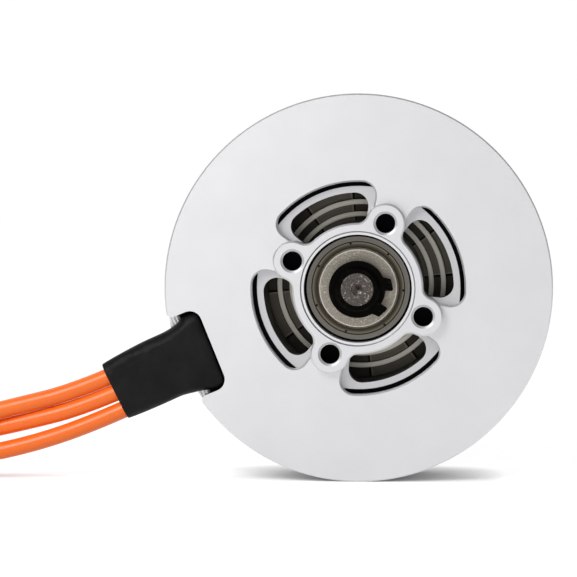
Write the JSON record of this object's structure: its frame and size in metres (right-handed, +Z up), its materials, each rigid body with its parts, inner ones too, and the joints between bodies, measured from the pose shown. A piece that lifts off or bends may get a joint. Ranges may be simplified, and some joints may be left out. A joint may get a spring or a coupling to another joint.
{
  "type": "waterproof brushless motor",
  "caption": "Flat sealed outrunner motor: satin disc base with a vented, raised bolt hub, bearing-mounted shaft with retaining clip, spinning magnet bell and orange leads in a black boot.",
  "frame": {"origin": "on the shaft's axis in the plane of the mounting face, the top of the raised hub and bosses", "axes": "+X to the right and +Z up as in the picture, -Y out of the mounting face towards the viewer, +Y into the motor towards the bell"},
  "size_m": [0.3642, 0.0578, 0.144],
  "materials": {
    "anodised_aluminium": "satin clear anodised",
    "bearing_steel": "ground",
    "bearing_shield": "pressed",
    "cage_polyamide": "moulded",
    "shaft_steel": "ground",
    "plated_steel": "plated, satin",
    "black_oxide_steel": "black oxide",
    "screw_steel": "zinc flake, grey",
    "lamination_steel": "varnished",
    "epoxy_insulation": "coated",
    "enamelled_copper": "enamelled",
    "flux_ring_steel": "turned",
    "nickel_plated_magnet": "nickel plated",
    "heat_shrink": "matte black",
    "orange_silicone": "soft, satin",
    "gold_plated_brass": "gold plated"
  },
  "bodies": {
    "stator": {"base_plate": "anodised_aluminium", "base_bearing_outer_ring": "bearing_steel", "base_bearing_front_shield": "bearing_shield", "base_bearing_rear_shield": "bearing_shield", "bell_bearing_outer_ring": "bearing_steel", "bell_bearing_front_shield": "bearing_shield", "bell_bearing_rear_shield": "bearing_shield", "stator_core": "lamination_steel", "insulator_base_end": "epoxy_insulation", "insulator_bell_end": "epoxy_insulation", "coils_phase_u": "enamelled_copper", "coils_phase_v": "enamelled_copper", "coils_phase_w": "enamelled_copper", "lead_boot": "heat_shrink", "lead_u": "orange_silicone", "contact_u": "gold_plated_brass", "contact_sleeve_u": "heat_shrink", "lead_v": "orange_silicone", "contact_v": "gold_plated_brass", "contact_sleeve_v": "heat_shrink", "lead_w": "orange_silicone", "contact_w": "gold_plated_brass", "contact_sleeve_w": "heat_shrink"},
    "rotor": {"shaft": "black_oxide_steel", "base_bearing_inner_ring": "bearing_steel", "bell_bearing_inner_ring": "bearing_steel", "bearing_spacer": "shaft_steel", "shaft_collar": "plated_steel", "spacer_sleeve": "black_oxide_steel", "shaft_clip": "black_oxide_steel", "shaft_end_screw": "screw_steel", "bell": "anodised_aluminium", "bell_screws": "screw_steel", "flux_ring": "flux_ring_steel", "magnets": "nickel_plated_magnet"},
    "base_bearing_ball_set": {"base_bearing_balls": "bearing_steel", "base_bearing_cage": "cage_polyamide"},
    "bell_bearing_ball_set": {"bell_bearing_balls": "bearing_steel", "bell_bearing_cage": "cage_polyamide"}
  },
  "joints": [
    {"name": "rotor_spin", "type": "hinge", "parent": "stator", "child": "rotor", "pos_m": [0, 0, 0], "axis": [0, 1, 0], "continuous": true},
    {"name": "base_cage_spin", "type": "hinge", "parent": "stator", "child": "base_bearing_ball_set", "pos_m": [0, 0.012, 0], "axis": [0, 1, 0], "continuous": true},
    {"name": "bell_cage_spin", "type": "hinge", "parent": "stator", "child": "bell_bearing_ball_set", "pos_m": [0, 0.03, 0], "axis": [0, 1, 0], "continuous": true}
  ],
  "couplings": [
    {"joint": "base_cage_spin", "follows": "rotor_spin", "ratio": 0.38175},
    {"joint": "bell_cage_spin", "follows": "rotor_spin", "ratio": 0.38175}
  ]
}
